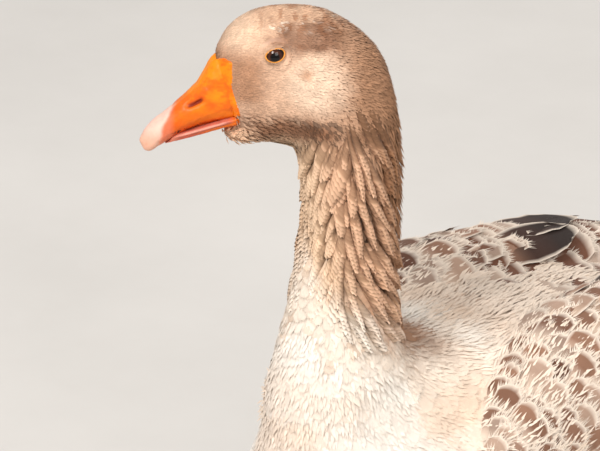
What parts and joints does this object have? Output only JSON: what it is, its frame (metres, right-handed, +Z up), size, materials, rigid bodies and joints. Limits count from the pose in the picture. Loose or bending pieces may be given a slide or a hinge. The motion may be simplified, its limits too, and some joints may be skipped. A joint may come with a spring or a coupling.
{
  "type": "domestic goose",
  "caption": "Life-size still model of a standing domestic goose, wings folded, neck upright and head turned to its right.",
  "frame": {"origin": "on the floor, below the middle of the whole bird's box", "axes": "+Z up; the goose faces -Y and its left side is at +X"},
  "size_m": [0.2452, 0.5595, 0.6113],
  "materials": {
    "plumage_head": "soft short feathers, pinkish fawn",
    "plumage_neck": "furrowed feathers in oblique locks, buff to tan",
    "plumage_breast": "soft scalloped feathers, cream white",
    "plumage_body": "layered feathers, pale cream",
    "plumage_wing": "broad feathers, brown with cream fringes",
    "plumage_tail": "stiff feathers, white with a brown band",
    "bill": "satin horn, orange, yellower towards its base",
    "bill_nail": "satin horn, pinkish white",
    "eye": "wet and glossy, dark brown",
    "foot": "scaly skin, orange",
    "claw": "satin horn, dark brown"
  },
  "bodies": {
    "root": {"bill_lower": "bill", "bill_nail": "bill_nail", "bill_upper": "bill", "breast": "plumage_breast", "claw_left_hind": "claw", "claw_left_inner": "claw", "claw_left_middle": "claw", "claw_left_outer": "claw", "claw_right_hind": "claw", "claw_right_inner": "claw", "claw_right_middle": "claw", "claw_right_outer": "claw", "eye_left": "eye", "eye_right": "eye", "foot_left": "foot", "foot_right": "foot", "head": "plumage_head", "neck_base": "plumage_neck", "neck_middle": "plumage_neck", "neck_upper": "plumage_neck", "rump": "plumage_body", "shank_left": "foot", "shank_right": "foot", "tail": "plumage_tail", "thigh_left": "plumage_body", "thigh_right": "plumage_body", "trunk": "plumage_body", "wing_left_coverts": "plumage_wing", "wing_left_primaries": "plumage_wing", "wing_left_secondaries": "plumage_wing", "wing_right_coverts": "plumage_wing", "wing_right_primaries": "plumage_wing", "wing_right_secondaries": "plumage_wing"}
  },
  "joints": []
}
